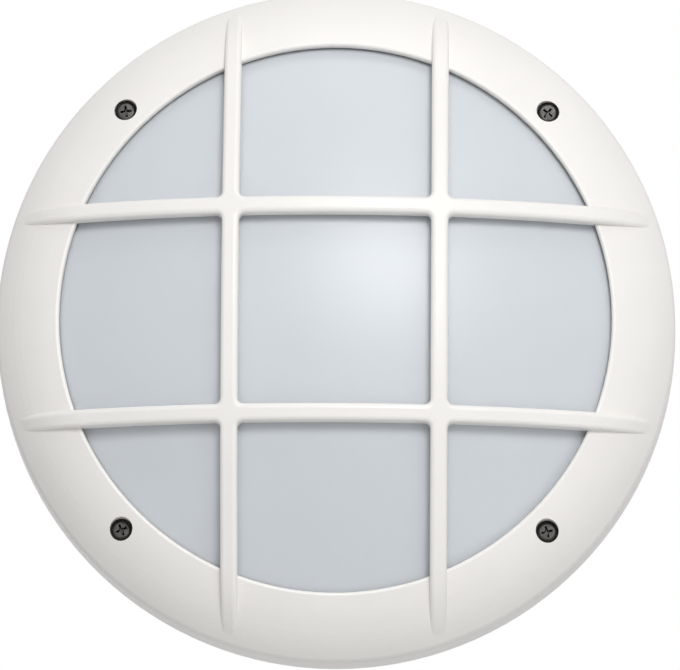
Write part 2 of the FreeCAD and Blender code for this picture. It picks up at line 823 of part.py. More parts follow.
# Reflector tray with its screws

def bracket_screw_places():
    """Places of the lampholder bracket screws: right for one holder, left for the other."""
    middle = holder_back - dim.bracket_foot / 2
    for side in (-1, 1):
        for over in (-1, 1):
            yield side * middle, -side * dim.lamp_offset + over * dim.bracket_screw_spacing / 2


def terminal_screw_places():
    return [(side * dim.terminal_pitch / 2, size(0)) for side in (-1, 1)]


def make_tray():
    lip_top = tray_top + dim.tray_lip
    lip_radius = tray_radius + dim.tray_lip_lean
    plate = turned("tray_plate", [
        (0, dim.tray_depth), (tray_radius, dim.tray_depth), (lip_radius, lip_top),
        (lip_radius - dim.tray_sheet, lip_top), (tray_radius - dim.tray_sheet, tray_top), (0, tray_top)])
    seat(plate, 0, 0, 0)
    drills = []
    screws = []

    def drill(name, x, z, hole_radius):
        drills.append(rod(name, x, dim.tray_depth - BEYOND, z, "front", hole_radius,
                          dim.tray_sheet + 2 * BEYOND))

    for i, (right, over) in enumerate(CROSS, start=1):
        x = right * tray_screw_reach
        z = over * tray_screw_reach
        drill("tray_hole_%d" % i, x, z, m4_hole)
        length = dim.tray_sheet + dim.tray_depth - dim.base_floor - BEYOND
        screws.append(seat(m4_screw("tray_screw_%d" % i, length), x, tray_top, z))
    for i, (x, z) in enumerate(bracket_screw_places(), start=1):
        drill("tray_bracket_hole_%d" % i, x, z, m4_hole)
    for i, (x, z) in enumerate(terminal_screw_places(), start=1):
        drill("tray_terminal_hole_%d" % i, x, z, m3_hole)
    drill("tray_earth_hole", dim.earth_across, dim.earth_up, m4_hole)
    drill("tray_cable_hole", -entry_reach, -entry_reach, dim.entry_hole / 2)
    for i, (right, over) in enumerate(SQUARE, start=1):
        drill("fixing_access_%d" % i, right * fixing_reach, over * fixing_reach, dim.fixing_access / 2)
    node(cut("reflector_tray", plate, drills), "reflector_tray")
    group("tray_screws", screws)


# Lampholders: number 1 on the left faces right, number 2 on the right faces left

def lead_holes():
    """Where the two leads enter a holder: distance from the middle of the light, and depth."""
    outer = holder_back - dim.lead_hole_inset
    near = lamp_depth - dim.lead_hole_spacing / 2
    return (outer - dim.lead_hole_step, near), (outer, near + dim.lead_hole_spacing)


def make_lampholders():
    bracket_screws = []
    holder_screws = []
    for i, (x, z) in enumerate(bracket_screw_places(), start=1):
        length = dim.bracket_sheet + dim.tray_sheet + dim.tray_depth - dim.base_floor - 2 * BEYOND
        top = tray_top + dim.bracket_sheet
        bracket_screws.append(seat(m4_screw("bracket_screw_%d" % i, length), x, top, z))
    for i, (side, facing, behind) in enumerate(((-1, "right", "left"), (1, "left", "right")), start=1):
        tag = "_%d" % i
        back = side * holder_back
        up = -side * dim.lamp_offset
        outer = back + side * dim.bracket_sheet
        inner = back - side * dim.bracket_foot
        half = dim.bracket_width / 2
        level = (up - half, up + half)
        plate_x = (outer, back) if side < 0 else (back, outer)
        foot_x = (outer, inner) if side < 0 else (inner, outer)
        plate_top = lamp_depth + dim.bracket_head_room
        foot_top = tray_top + dim.bracket_sheet
        plate = box("bracket_plate" + tag, plate_x, (tray_top, plate_top), level)
        foot = box("bracket_foot" + tag, foot_x, (tray_top, foot_top), level)
        drills = []
        holes = []
        for j, over in enumerate((-1, 1), start=1):
            z = up + over * dim.holder_screw_spacing / 2
            name = "%s_%d" % (tag, j)
            drills.append(rod("holder_plate_hole" + name, outer + side * BEYOND, lamp_depth, z, facing,
                              m3_hole, dim.bracket_sheet + 2 * BEYOND))
            holes.append(rod("holder_tap" + name, back + side * BEYOND, lamp_depth, z, facing, m3_hole,
                             dim.holder_cap_length - dim.holder_step + BEYOND))
            fixing = m3_screw("holder_screw" + name, dim.bracket_sheet + dim.tap_depth)
            holder_screws.append(seat(fixing, outer, lamp_depth, z, behind))
            z = up + over * dim.bracket_screw_spacing / 2
            drills.append(rod("bracket_foot_hole" + name, back - side * dim.bracket_foot / 2,
                              tray_top - BEYOND, z, "front", m4_hole, dim.bracket_sheet + 2 * BEYOND))
        angle = fuse("bracket_angle" + tag, [plate, foot])
        node(cut("bracket" + tag, angle, drills), "lampholder_bracket" + tag)
        cap = dim.holder_cap_diameter / 2
        lead_hole = dim.lead_diameter / 2 + dim.thread_clearance
        for j, (reach, depth) in enumerate(lead_holes(), start=1):
            holes.append(rod("lead_hole%s_%d" % (tag, j), side * reach, depth,
                             up + side * (cap + BEYOND), "up" if side < 0 else "down", lead_hole,
                             dim.lead_entry + cap - leg(cap, dim.lead_hole_spacing / 2) + BEYOND))
        pot = turned("holder_pot" + tag, [
            (0, 0), (cap, 0), (cap, dim.holder_cap_length),
            (dim.holder_diameter / 2, dim.holder_cap_length + dim.holder_step),
            (dim.holder_diameter / 2, dim.holder_length),
            (shell_outer + dim.seal_gap, dim.holder_length), (shell_outer + dim.seal_gap, dim.holder_floor),
            (0, dim.holder_floor)])
        seat(pot, back, lamp_depth, up, facing)
        node(cut("holder" + tag, pot, holes), "lampholder" + tag)
        shell = turned("shell" + tag, [
            (dim.shell_bore / 2, dim.holder_floor), (shell_outer, dim.holder_floor),
            (shell_outer, dim.holder_length - dim.shell_inset),
            (dim.shell_bore / 2, dim.holder_length - dim.shell_inset)])
        node(seat(shell, back, lamp_depth, up, facing), "holder_shell" + tag)
        spring = dim.contact_spring / 2
        leaf_top = dim.holder_floor + dim.contact_leaf
        contact = turned("contact" + tag, [
            (0, dim.holder_floor), (spring, dim.holder_floor), (spring, leaf_top), (spring / 2, leaf_top),
            (spring / 2 - dim.contact_leaf, contact_tip), (0, contact_tip)])
        node(seat(contact, back, lamp_depth, up, facing), "holder_contact" + tag)
    group("bracket_screws", bracket_screws)
    group("holder_screws", holder_screws)


# Lamps, screwed into the lampholders

def make_lamps():
    tip = contact_tip + dim.rest_gap
    button = tip + dim.lamp_contact_height
    cap_start = button + dim.lamp_insulator_height
    cap_end = cap_start + dim.lamp_cap_length
    body_end = cap_end + dim.lamp_body_length
    globe_end = body_end + dim.lamp_globe_height
    cap = dim.lamp_cap_diameter / 2
    sphere = dim.lamp_diameter / 2
    sphere_centre = globe_end - sphere
    rim = leg(sphere, sphere_centre - body_end)
    hollow = sphere - dim.lamp_globe_wall
    hollow_rim = leg(hollow, sphere_centre - body_end)
    shoulder = rim + dim.lamp_body_step
    contact = dim.lamp_contact_diameter / 2
    forms = {
        "lamp_contact": [
            (0, tip), (contact / 2, tip, Bend(contact)), (contact, button), (0, button)],
        "lamp_insulator": [
            (0, button), (contact + dim.lamp_body_step, button),
            (dim.lamp_insulator_top / 2, cap_start), (0, cap_start)],
        "lamp_cap": [(0, cap_start), (cap, cap_start), (cap, cap_end), (0, cap_end)],
        "lamp_body": [
            (0, cap_end), (cap + dim.lamp_body_step, cap_end, Bend(2 * dim.lamp_diameter, clockwise=True)),
            (shoulder, body_end), (0, body_end)],
        "lamp_globe": [
            (hollow_rim, body_end), (rim, body_end, Bend(sphere)),
            (sphere, sphere_centre, Bend(sphere)), (0, globe_end),
            (0, globe_end - dim.lamp_globe_wall, Bend(hollow, clockwise=True)),
            (hollow, sphere_centre, Bend(hollow, clockwise=True))],
    }
    for i, (side, facing) in enumerate(((-1, "right"), (1, "left")), start=1):
        for name, corners in forms.items():
            form = turned("%s_form_%d" % (name, i), corners)
            seat(form, side * holder_back, lamp_depth, -side * dim.lamp_offset, facing)
            node(form, "%s_%d" % (name, i))


# Supply terminals, inner leads and the earth point

POLES = {"live": -1, "neutral": 0, "earth": 1}


def make_terminals():
    half_length = dim.terminal_length / 2
    half_height = dim.terminal_height / 2
    top = tray_top + dim.terminal_thickness
    block = box("terminal_body", (-half_length, half_length), (tray_top, top), (-half_height, half_height))
    drills = []
    tubes = []
    screws = []
    fixings = []
    well = dim.terminal_screw / 2 + dim.thread_clearance
    screw_foot = tube_depth + dim.terminal_bore / 2
    for name, pole in POLES.items():
        x = pole * dim.terminal_pitch
        drills.append(rod(name + "_way", x, tube_depth, -half_height - BEYOND, "up",
                          dim.terminal_tube / 2 + dim.thread_clearance, dim.terminal_height + 2 * BEYOND))
        tube = rod(name + "_tube", x, tube_depth, -tube_end, "up", dim.terminal_tube / 2,
                   dim.terminal_tube_length)
        bores = [rod(name + "_bore", x, tube_depth, -tube_end - BEYOND, "up", dim.terminal_bore / 2,
                     dim.terminal_tube_length + 2 * BEYOND)]
        for j, over in enumerate((-1, 1), start=1):
            z = over * dim.terminal_screw_spacing / 2
            drills.append(rod("%s_well_%d" % (name, j), x, tube_depth, z, "front", well,
                              top - tube_depth + BEYOND))
            bores.append(rod("%s_tap_%d" % (name, j), x, tube_depth, z, "front", well, dim.terminal_tube))
            screws.append(rod("%s_screw_%d" % (name, j), x, screw_foot, z, "front", dim.terminal_screw / 2,
                              dim.terminal_screw_length))
        tubes.append(cut(name + "_clamp", tube, bores))
    for i, (x, z) in enumerate(terminal_screw_places(), start=1):
        drills.append(rod("terminal_hole_%d" % i, x, tray_top - BEYOND, z, "front", m3_hole,
                          dim.terminal_thickness + 2 * BEYOND))
        length = dim.terminal_thickness + dim.tray_sheet + BEYOND
        fixings.append(seat(m3_screw("terminal_fixing_%d" % i, length), x, top, z))
    node(cut("terminals", block, drills), "terminal_block")
    group("terminal_tubes", tubes)
    group("terminal_screws", screws)
    group("terminal_fixing_screws", fixings)


def lead(name, route, radius):
    """Round lead along straight runs joined by tangent arcs as large as the runs allow."""
    share = 0.45
    points = [Vector(x, -depth, up) for x, depth, up in route]
    edges = []
    start = points[0]
    for before, corner, after in zip(points, points[1:], points[2:]):
        into = corner - before
        out = after - corner
        reach = share * min(into.Length, out.Length)
        enter = corner - into.normalize() * reach
        leave = corner + out.normalize() * reach
        half_turn = into.getAngle(out) / 2
        inward = (out - into).normalize()
        bend_radius = reach / math.tan(half_turn)
        middle = corner + inward * (bend_radius / math.cos(half_turn) - bend_radius)
        print("%s bend radius %.1f mm" % (name, bend_radius))
        edges.append(Part.makeLine(start, enter))
        edges.append(Part.Arc(enter, middle, leave).toShape())
        start = leave
    edges.append(Part.makeLine(start, points[-1]))
    path = Part.Wire(edges)
    section = Part.Wire(Part.makeCircle(radius, points[0], points[1] - points[0]))
    tube = Part.BRepOffsetAPI.MakePipeShell(path)
    tube.add(section)
    tube.build()
    tube.makeSolid()
    solid = tube.shape()
    drawn = math.pi * radius ** 2 * path.Length
    if abs(solid.Volume / drawn - 1) > 0.01:
        raise ValueError("lead %s is not its section times its length" % name)
    obj = doc.addObject("Part::Feature", name)
    obj.Shape = solid
    obj.Placement = FreeCAD.Placement()
    return obj


# Hand-chosen points of the leads. Each leaves its terminal straight, then turns outwards.
LEAVE = 6.5, 1.5, 6.0
NEAR_LEAD = SimpleNamespace(
    clear=15.0,
    # share of the way out to the hole, height above the tray, and up
    over=((0.384, 0.0, 20.5), (0.633, 0.0, 17.5), (0.825, 1.0, 12.0), (0.927, 5.5, 7.5)),
    # short of the hole's depth, and below the hole
    rise=((11.5, 16.0), (4.0, 13.5), (0.0, 7.0)))
FAR_LEAD = SimpleNamespace(
    clear=19.0,
    over=((0.27, 0.0, 26.5), (0.54, 0.0, 24.0), (0.768, 2.0, 17.5), (0.941, 8.5, 12.0)),
    rise=((12.5, 14.0), (4.0, 11.5), (0.0, 4.5)))


def leave_terminal(pole, side, clear):
    """First points of a lead, from its terminal's mouth to where it has turned outwards."""
    x = POLES[pole] * dim.terminal_pitch.value
    depth = tube_depth.value
    outwards, back, up = LEAVE
    mouth = tube_end.value + dim.rest_gap.value
    return [(x, depth, mouth), (x, depth, clear), (x + side * outwards, depth - back, clear + up)]


def make_leads():
    radius = dim.lead_diameter.value / 2
    lying = tray_top.value + radius + dim.rest_gap.value
    hole_up = dim.lamp_offset.value - dim.holder_cap_diameter.value / 2
    near_hole, far_hole = lead_holes()
    leads = {"live": [], "neutral": []}
    for i, (side, near, far) in enumerate(((-1, "live", "neutral"), (1, "neutral", "live")), start=1):
        for pole, run, (hole_x, hole_depth) in ((near, NEAR_LEAD, near_hole), (far, FAR_LEAD, far_hole)):
            x = side * hole_x.value
            depth = hole_depth.value
            route = leave_terminal(pole, side, run.clear)
            route += [(share * x, lying + above, up) for share, above, up in run.over]
            route += [(x, depth - short, hole_up - below) for short, below in run.rise]
            route.append((x, depth, hole_up + dim.lead_entry.value))
            turned_route = [(across, back, -side * up) for across, back, up in route]
            leads[pole].append(lead("%s_lead_%d" % (pole, i), turned_route, radius))
    group("live_wires", leads["live"])
    group("neutral_wires", leads["neutral"])
    tag_depth = tray_top + dim.earth_tag_sheet
    barrel_radius = dim.lead_diameter / 2 + dim.earth_barrel_wall + dim.thread_clearance
    barrel_depth = tray_top + barrel_radius
    barrel_end = dim.earth_across - dim.earth_tag_diameter / 2 - dim.earth_barrel_gap
    barrel_start = barrel_end - dim.earth_barrel_length
    eye = rod("tag_eye", dim.earth_across, tray_top, dim.earth_up, "front", dim.earth_tag_diameter / 2,
              dim.earth_tag_sheet)
    tongue = box("tag_tongue", (barrel_end - BEYOND, dim.earth_across), (tray_top, tag_depth),
                 (dim.earth_up - barrel_radius, dim.earth_up + barrel_radius))
    barrel = rod("tag_barrel", barrel_start, barrel_depth, dim.earth_up, "right", barrel_radius,
                 dim.earth_barrel_length)
    bore = rod("tag_bore", barrel_start - BEYOND, barrel_depth, dim.earth_up, "right",
               dim.lead_diameter / 2 + dim.thread_clearance, dim.earth_barrel_length)
    hole = rod("tag_hole", dim.earth_across, tray_top - BEYOND, dim.earth_up, "front", m4_hole,
               dim.earth_tag_sheet + 2 * BEYOND)
    node(cut("tag", fuse("tag_blank", [eye, tongue, barrel]), [bore, hole]), "earth_tag")
    length = dim.earth_tag_sheet + dim.tray_sheet + dim.tray_depth - dim.base_floor - 2 * BEYOND
    node(seat(m4_screw("earth_bolt", length), dim.earth_across, tag_depth, dim.earth_up), "earth_screw")
    earth_depth = barrel_depth.value
    earth_up = dim.earth_up.value
    route = leave_terminal("earth", 1, NEAR_LEAD.clear)
    route.append((barrel_start.value - dim.earth_barrel_gap.value, earth_depth, earth_up))
    route.append((barrel_end.value - 2 * BEYOND, earth_depth, earth_up))
    node(lead("earth_lead", route, radius), "earth_wire")


def check(obj):
    if "Invalid" in obj.State or "Error" in obj.State:
        raise ValueError("%s failed: %s" % (obj.Label, obj.State))


def write():
    doc.recompute()
    for obj in doc.Objects:
        check(obj)
    for piece in nodes:
        if piece.Shape.isNull() or not piece.Shape.isValid() or not piece.Shape.Solids:
            raise ValueError("%s has no valid solid" % piece.Label)
    os.makedirs("parts", exist_ok=True)
    for piece in nodes:
        piece.Shape.exportStep("parts/%s.step" % piece.Label)


make_front_cover()
make_diffuser()
make_cover_screws()
make_back_housing()
make_entries()
make_tray()
make_lampholders()
make_lamps()
make_terminals()
make_leads()
write()
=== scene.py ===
import math

import bmesh
import bpy
from bpy.props import FloatProperty, FloatVectorProperty, IntProperty, PointerProperty
from mathutils import Matrix, Quaternion, Vector


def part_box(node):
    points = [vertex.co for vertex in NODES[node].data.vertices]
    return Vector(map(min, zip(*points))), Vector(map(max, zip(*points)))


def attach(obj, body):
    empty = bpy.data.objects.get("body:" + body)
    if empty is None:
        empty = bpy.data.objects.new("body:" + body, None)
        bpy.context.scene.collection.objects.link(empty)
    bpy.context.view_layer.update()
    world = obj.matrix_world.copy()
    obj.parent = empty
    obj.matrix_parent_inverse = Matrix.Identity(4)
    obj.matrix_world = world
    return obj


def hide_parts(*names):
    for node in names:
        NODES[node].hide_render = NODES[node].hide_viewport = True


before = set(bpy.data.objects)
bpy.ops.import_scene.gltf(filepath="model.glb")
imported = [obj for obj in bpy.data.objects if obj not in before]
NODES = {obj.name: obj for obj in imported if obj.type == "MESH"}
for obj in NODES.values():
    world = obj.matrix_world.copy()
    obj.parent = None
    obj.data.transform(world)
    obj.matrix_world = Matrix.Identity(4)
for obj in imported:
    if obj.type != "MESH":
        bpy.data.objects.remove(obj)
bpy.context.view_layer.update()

bl_info = {
    "name": "Outdoor wall light",
    "version": (1, 0, 0),
    "blender": (4, 5, 0),
    "location": "View3D > Sidebar > Wall light",
    "description": "Finishes, dome, threads and leads of a round outdoor wall light",
    "category": "Object",
}

# The photograph's width in pixels and the camera sensor's in millimetres
PHOTO_WIDTH = 680
SENSOR_WIDTH = 36
WHITE = (1, 1, 1, 1)
MM = 0.001
FULL_TURN = 2 * math.pi
OUTWARDS = Vector((0, -1, 0))
SCREWS = 1, 2, 3, 4
# Which way each lamp points from its holder
LAMPS = {1: Vector((1, 0, 0)), 2: Vector((-1, 0, 0))}
# Lengths that differ by less than this count as the same
NEAR = 0.01 * MM
# Corners of a mesh that are closer than this become one
MERGE = 0.001 * MM
# Faces that meet at a larger angle than this have a sharp edge between them
SHARP = math.radians(35)
# Most values of a noise texture lie between these
NOISE_LOW = 0.3
NOISE_HIGH = 0.7
# Faces round a rolled shell or cap, and rings of faces in each pitch of its thread
ROLLED_FACES = 72
ROLLED_RINGS = 14


# Settings

def colour(name, description, default):
    return FloatVectorProperty(name=name, description=description, default=default, size=3, min=0, max=1,
                               subtype="COLOR")


def length(name, description, default):
    return FloatProperty(name=name, description=description, default=default, min=0, precision=5,
                         unit="LENGTH")


def angle(name, description, degrees):
    return FloatProperty(name=name, description=description, default=math.radians(degrees), subtype="ANGLE")


def power(name, description, watts):
    return FloatProperty(name=name, description=description, default=watts, min=0, unit="POWER")


def number(name, description, default):
    return FloatProperty(name=name, description=description, default=default, min=0)


def whole_number(name, description, default):
    return IntProperty(name=name, description=description, default=default, min=8)


class WallLightFinishes(bpy.types.PropertyGroup):
    paint: colour("Powder coat", "Paint of the cover and the housing", (0.845, 0.825, 0.802))
    opal: colour("Opal", "Domed diffuser", (0.62, 0.65, 0.682))
    reflector: colour("Reflector", "Gloss paint of the tray", (0.86, 0.86, 0.85))
    # Far darker than bare stainless: painted shade of the screws' sunken pockets and painted dark
    # reflections of their surroundings
    stainless: colour("Stainless", "Cover screws", (0.07, 0.068, 0.066))
    zinc: colour("Zinc plate", "Brackets and small screws", (0.58, 0.59, 0.61))
    brass: colour("Brass", "Terminals, contacts and holder shells", (0.70, 0.50, 0.22))
    nickel: colour("Nickel", "Lamp caps", (0.62, 0.60, 0.56))
    porcelain: colour("Porcelain", "Lampholders", (0.82, 0.80, 0.76))
    rubber: colour("Rubber", "Seals and grommet", (0.022, 0.022, 0.023))
    plug: colour("Plug", "Blanking plug of the side entry", (0.70, 0.70, 0.68))
    globe: colour("Lamp globe", "Frosted lamp globes", (0.86, 0.86, 0.84))
    lamp: colour("Lamp body", "Moulded lamp bodies", (0.82, 0.82, 0.81))
    glass: colour("Black glass", "Insulators of the lamp caps", (0.012, 0.012, 0.014))
    terminal: colour("Terminal block", "Moulded block", (0.76, 0.75, 0.70))
    live: colour("Live lead", "Insulation of the live leads", (0.16, 0.055, 0.02))
    neutral: colour("Neutral lead", "Insulation of the neutral leads", (0.015, 0.07, 0.33))
    earth_green: colour("Earth green", "Green of the earth lead", (0.03, 0.22, 0.03))
    earth_yellow: colour("Earth yellow", "Yellow of the earth lead", (0.72, 0.58, 0.02))


class WallLightSizes(bpy.types.PropertyGroup):
    screw_pitch: length("Screw pitch", "Pitch of the cover screws' thread", 0.8 * MM)
    screw_thread: length("Screw thread depth", "Depth of the cover screws' thread", 0.49 * MM)
    screw_shank: length("Screw thread", "Diameter of the cover screws' thread", 5.0 * MM)
    screw_head: length("Screw head", "Height of the cover screws' heads", 3.4 * MM)
    recess_arm: length("Recess arm", "From the middle of the cross recess to the end of an arm", 2.6 * MM)
    recess_slot: length("Recess slot", "Half the width of an arm of the cross recess", 0.55 * MM)
    recess_depth: length("Recess depth", "Depth of the cross recess", 2.3 * MM)
    lamp_pitch: length("Cap pitch", "Pitch of the lamp cap's thread", 25.4 * MM / 7)
    lamp_thread: length("Cap thread depth", "Depth of the lamp cap's rolled thread", 0.95 * MM)
    cap_collar: length("Cap collar", "Length of the plain collar at the lamp's end of the cap", 4.0 * MM)
    shell_wall: length("Shell sheet", "Thickness of the holders' brass shells", 0.6 * MM)
    lead: length("Lead", "Diameter of the inner leads", 2.6 * MM)
    dome_fill: length("Dome fill", "How far the dome's edge is drawn into its gap to the cover", 0.25 * MM)
    dome_rings: whole_number("Dome rings", "Rings of faces over the dome", 40)
    dome_faces: whole_number("Dome faces", "Faces round the dome", 192)
    head_faces: whole_number("Head faces", "Faces round a cover screw's head", 64)
    thread_steps: whole_number("Thread steps", "Steps in each turn of a cover screw's thread", 24)


class WallLightStage(bpy.types.PropertyGroup):
    tilt: angle("Tilt", "How far below the light the camera stands", 8.75)
    swing: angle("Swing", "How far to the right the camera stands", 0.77)
    roll: angle("Roll", "Turn of the camera about its own view", 0.355)
    distance: length("Distance", "From the cover's back edge to the camera", 3.2)
    rim_depth: length("Rim depth", "From the wall to the cover's back edge", 22 * MM)
    scale: number("Scale", "Pixels of the photograph per millimetre", 2.221)
    aside: length("Aside", "Camera moved to the right, in its own view", 1.58 * MM)
    below: length("Below", "Camera moved down, in its own view", 1.35 * MM)
    floor_drop: length("Floor", "From the middle of the light down to the floor", 1.8)
    floor_radius: length("Floor radius", "From the middle of the floor to its edge", 14)
    floor_lift: number("Floor lift", "How much brighter the floor looks than it is lit", 0.3)
    ambient: number("Ambient", "Strength of the light from all round", 0.49)
    lamp_distance: length("Lamp distance", "From the light to the studio lamps", 2.8)
    key: power("Key", "Soft lamp beside the camera", 38.0)
    key_width: length("Key width", "Diameter of the soft lamp beside the camera", 0.9)
    key_side: angle("Key side", "How far to the right the key lamp stands", 9.5)
    key_up: angle("Key height", "How far up the key lamp stands", 18)
    top: power("Top", "Soft lamp above", 11.0)
    top_width: length("Top width", "Diameter of the soft lamp above", 1.6)
    top_side: angle("Top side", "How far to the right the top lamp stands", 6)
    top_up: angle("Top height", "How far up the top lamp stands", 61)
    fill: power("Fill", "Soft lamp low on the right", 6.0)
    fill_width: length("Fill width", "Diameter of the soft lamp low on the right", 1.6)
    fill_side: angle("Fill side", "How far to the right the fill lamp stands", 40)
    fill_up: angle("Fill height", "How far up the fill lamp stands", -28)


# Finishes

class Finish:
    """Material whose pattern reads Object coordinates."""

    def __init__(self, name, metallic=0.0, ior=1.5):
        self.material = bpy.data.materials.new(name)
        self.material.use_nodes = True
        self.nodes = self.material.node_tree.nodes
        self.links = self.material.node_tree.links
        self.shader = self.nodes["Principled BSDF"]
        self.shader.inputs["Metallic"].default_value = metallic
        self.shader.inputs["IOR"].default_value = ior
        self.place = self.nodes.new("ShaderNodeTexCoord").outputs["Object"]

    def noise(self, scale, detail=2.0, stretch=(1, 1, 1)):
        mapping = self.nodes.new("ShaderNodeMapping")
        mapping.inputs["Scale"].default_value = stretch
        self.links.new(self.place, mapping.inputs["Vector"])
        noise = self.nodes.new("ShaderNodeTexNoise")
        noise.inputs["Scale"].default_value = scale
        noise.inputs["Detail"].default_value = detail
        self.links.new(mapping.outputs["Vector"], noise.inputs["Vector"])
        return noise.outputs["Fac"]

    def tint(self, pattern, tones, low=NOISE_LOW, high=NOISE_HIGH):
        ramp = self.nodes.new("ShaderNodeValToRGB")
        for element, place, tone in zip(ramp.color_ramp.elements, (low, high), tones):
            element.position = place
            element.color = (*tone, 1)
        self.links.new(pattern, ramp.inputs["Fac"])
        self.links.new(ramp.outputs["Color"], self.shader.inputs["Base Color"])

    def roughen(self, pattern, low, high):
        span = self.nodes.new("ShaderNodeMapRange")
        span.inputs["From Min"].default_value = NOISE_LOW
        span.inputs["From Max"].default_value = NOISE_HIGH
        span.inputs["To Min"].default_value = low
        span.inputs["To Max"].default_value = high
        self.links.new(pattern, span.inputs["Value"])
        self.links.new(span.outputs["Result"], self.shader.inputs["Roughness"])

    def bump(self, pattern, height):
        bump = self.nodes.new("ShaderNodeBump")
        bump.inputs["Distance"].default_value = height
        self.links.new(pattern, bump.inputs["Height"])
        normal = self.shader.inputs["Normal"]
        if normal.is_linked:
            self.links.new(normal.links[0].from_socket, bump.inputs["Normal"])
        self.links.new(bump.outputs["Normal"], normal)

    def scatter(self, weight, reach):
        """Lets light of every colour spread the same way under the surface."""
        self.shader.inputs["Subsurface Weight"].default_value = weight
        self.shader.inputs["Subsurface Radius"].default_value = (1, 1, 1)
        self.shader.inputs["Subsurface Scale"].default_value = reach


def shade(tone, factor):
    """Darker or lighter tone of the same colour."""
    return tuple(min(1.0, part * factor) for part in tone)


def powder_coat(name, tone):
    """Satin paint with the fine orange peel of baked powder."""
    finish = Finish(name)
    finish.tint(finish.noise(scale=35, detail=4), (shade(tone, factor=0.975), tone))
    peel = finish.noise(scale=850, detail=1)
    finish.roughen(peel, low=0.36, high=0.46)
    finish.bump(peel, height=0.04 * MM)
    finish.bump(finish.noise(scale=90, detail=1), height=0.08 * MM)
    return finish.material


def opal(name, tone):
    finish = Finish(name)
    finish.tint(finish.noise(scale=14, detail=2), (shade(tone, factor=0.985), tone))
    etch = finish.noise(scale=2400, detail=1)
    finish.roughen(etch, low=0.36, high=0.42)
    finish.bump(etch, height=0.008 * MM)
    finish.scatter(weight=0.6, reach=4 * MM)
    return finish.material


def gloss_paint(name, tone):
    finish = Finish(name)
    finish.tint(finish.noise(scale=40, detail=3), (shade(tone, factor=0.97), tone))
    peel = finish.noise(scale=420, detail=1)
    finish.roughen(peel, low=0.14, high=0.22)
    finish.bump(peel, height=0.03 * MM)
    return finish.material


def plated(name, tone, low, high, spread=0.8, stretch=(1, 1, 1)):
    """Metal with fine scratches and a patchy plate."""
    finish = Finish(name, metallic=1.0)
    finish.tint(finish.noise(scale=300, detail=5), (shade(tone, spread), tone))
    scratches = finish.noise(scale=2500, detail=3, stretch=stretch)
    finish.roughen(scratches, low, high)
    finish.bump(scratches, height=0.006 * MM)
    return finish.material


def soft_rubber(name, tone, pore=1800):
    finish = Finish(name)
    finish.tint(finish.noise(scale=120, detail=4), (tone, shade(tone, factor=1.8)))
    grain = finish.noise(pore, detail=3)
    finish.roughen(grain, low=0.62, high=0.82)
    finish.bump(grain, height=0.05 * MM)
    return finish.material


def glaze(name, tone):
    finish = Finish(name)
    finish.tint(finish.noise(scale=260, detail=6), (shade(tone, factor=0.93), tone))
    finish.roughen(finish.noise(scale=500), low=0.12, high=0.2)
    finish.bump(finish.noise(scale=220, detail=1), height=0.06 * MM)
    finish.shader.inputs["Coat Weight"].default_value = 0.5
    return finish.material


def moulded(name, tone, low=0.32, high=0.45):
    finish = Finish(name)
    finish.tint(finish.noise(scale=60, detail=4), (shade(tone, factor=0.96), tone))
    spark = finish.noise(scale=1600, detail=2)
    finish.roughen(spark, low, high)
    finish.bump(spark, height=0.02 * MM)
    return finish.material


def frosted(name, tone):
    finish = Finish(name)
    finish.tint(finish.noise(scale=25, detail=2), (shade(tone, factor=0.985), tone))
    etch = finish.noise(scale=3000, detail=1)
    finish.roughen(etch, low=0.34, high=0.44)
    finish.bump(etch, height=0.006 * MM)
    finish.scatter(weight=0.3, reach=3 * MM)
    return finish.material


def striped_lead(name, green, yellow):
    """Green insulation with a yellow stripe winding along it."""
    finish = Finish(name)
    wave = finish.nodes.new("ShaderNodeTexWave")
    wave.inputs["Scale"].default_value = 90
    wave.inputs["Distortion"].default_value = 0.4
    wave.bands_direction = "DIAGONAL"
    finish.links.new(finish.place, wave.inputs["Vector"])
    finish.tint(wave.outputs["Fac"], (green, yellow), low=0.48, high=0.52)
    finish.roughen(finish.noise(scale=900), low=0.38, high=0.5)
    return finish.material


def dress(material, *names):
    """Gives CAD nodes a finish."""
    for name in names:
        slots = NODES[name].data.materials
        slots.clear()
        slots.append(material)


# Shapes of the new pieces: the turned ones are modelled along z and then put in place

def helix(bm, outline, pitch, turns, steps):
    """Winds an open outline of (radius, height) points, one pitch high, into a thread of joined turns."""
    seam = pitch / 400
    verts = [bm.verts.new((radius, 0, height)) for radius, height in outline]
    edges = [bm.edges.new(pair) for pair in zip(verts, verts[1:])]
    bmesh.ops.spin(bm, geom=verts + edges, axis=(0, 0, 1), cent=(0, 0, 0), dvec=(0, 0, pitch / steps),
                   angle=FULL_TURN * turns, steps=steps * turns, use_merge=False)
    bmesh.ops.remove_doubles(bm, verts=bm.verts, dist=seam)


def trim(bm, height, keep_above):
    """Cuts off what is below a height, or above it."""
    normal = (0, 0, -1) if keep_above else (0, 0, 1)
    everything = bm.verts[:] + bm.edges[:] + bm.faces[:]
    bmesh.ops.bisect_plane(bm, geom=everything, plane_co=(0, 0, height), plane_no=normal, clear_outer=True)


def open_edges(bm, height):
    """Edges at one height that have a face on one side only, or none yet."""
    edges = [e for e in bm.edges if len(e.link_faces) < 2]
    return [e for e in edges if all(abs(v.co.z - height) < NEAR for v in e.verts)]


def sink(bm, edges, shrink, height):
    """Draws a loop of edges to another height, closing towards the axis, and gives its new edges."""
    for drawn in bmesh.ops.extrude_edge_only(bm, edges=edges)["geom"]:
        if isinstance(drawn, bmesh.types.BMVert):
            drawn.co = (drawn.co.x * shrink, drawn.co.y * shrink, height)
    return open_edges(bm, height)


def fill(bm, edges, normal):
    """Closes the flat area inside a loop of edges, or between two."""
    bmesh.ops.triangle_fill(bm, edges=edges, use_beauty=True, normal=normal)


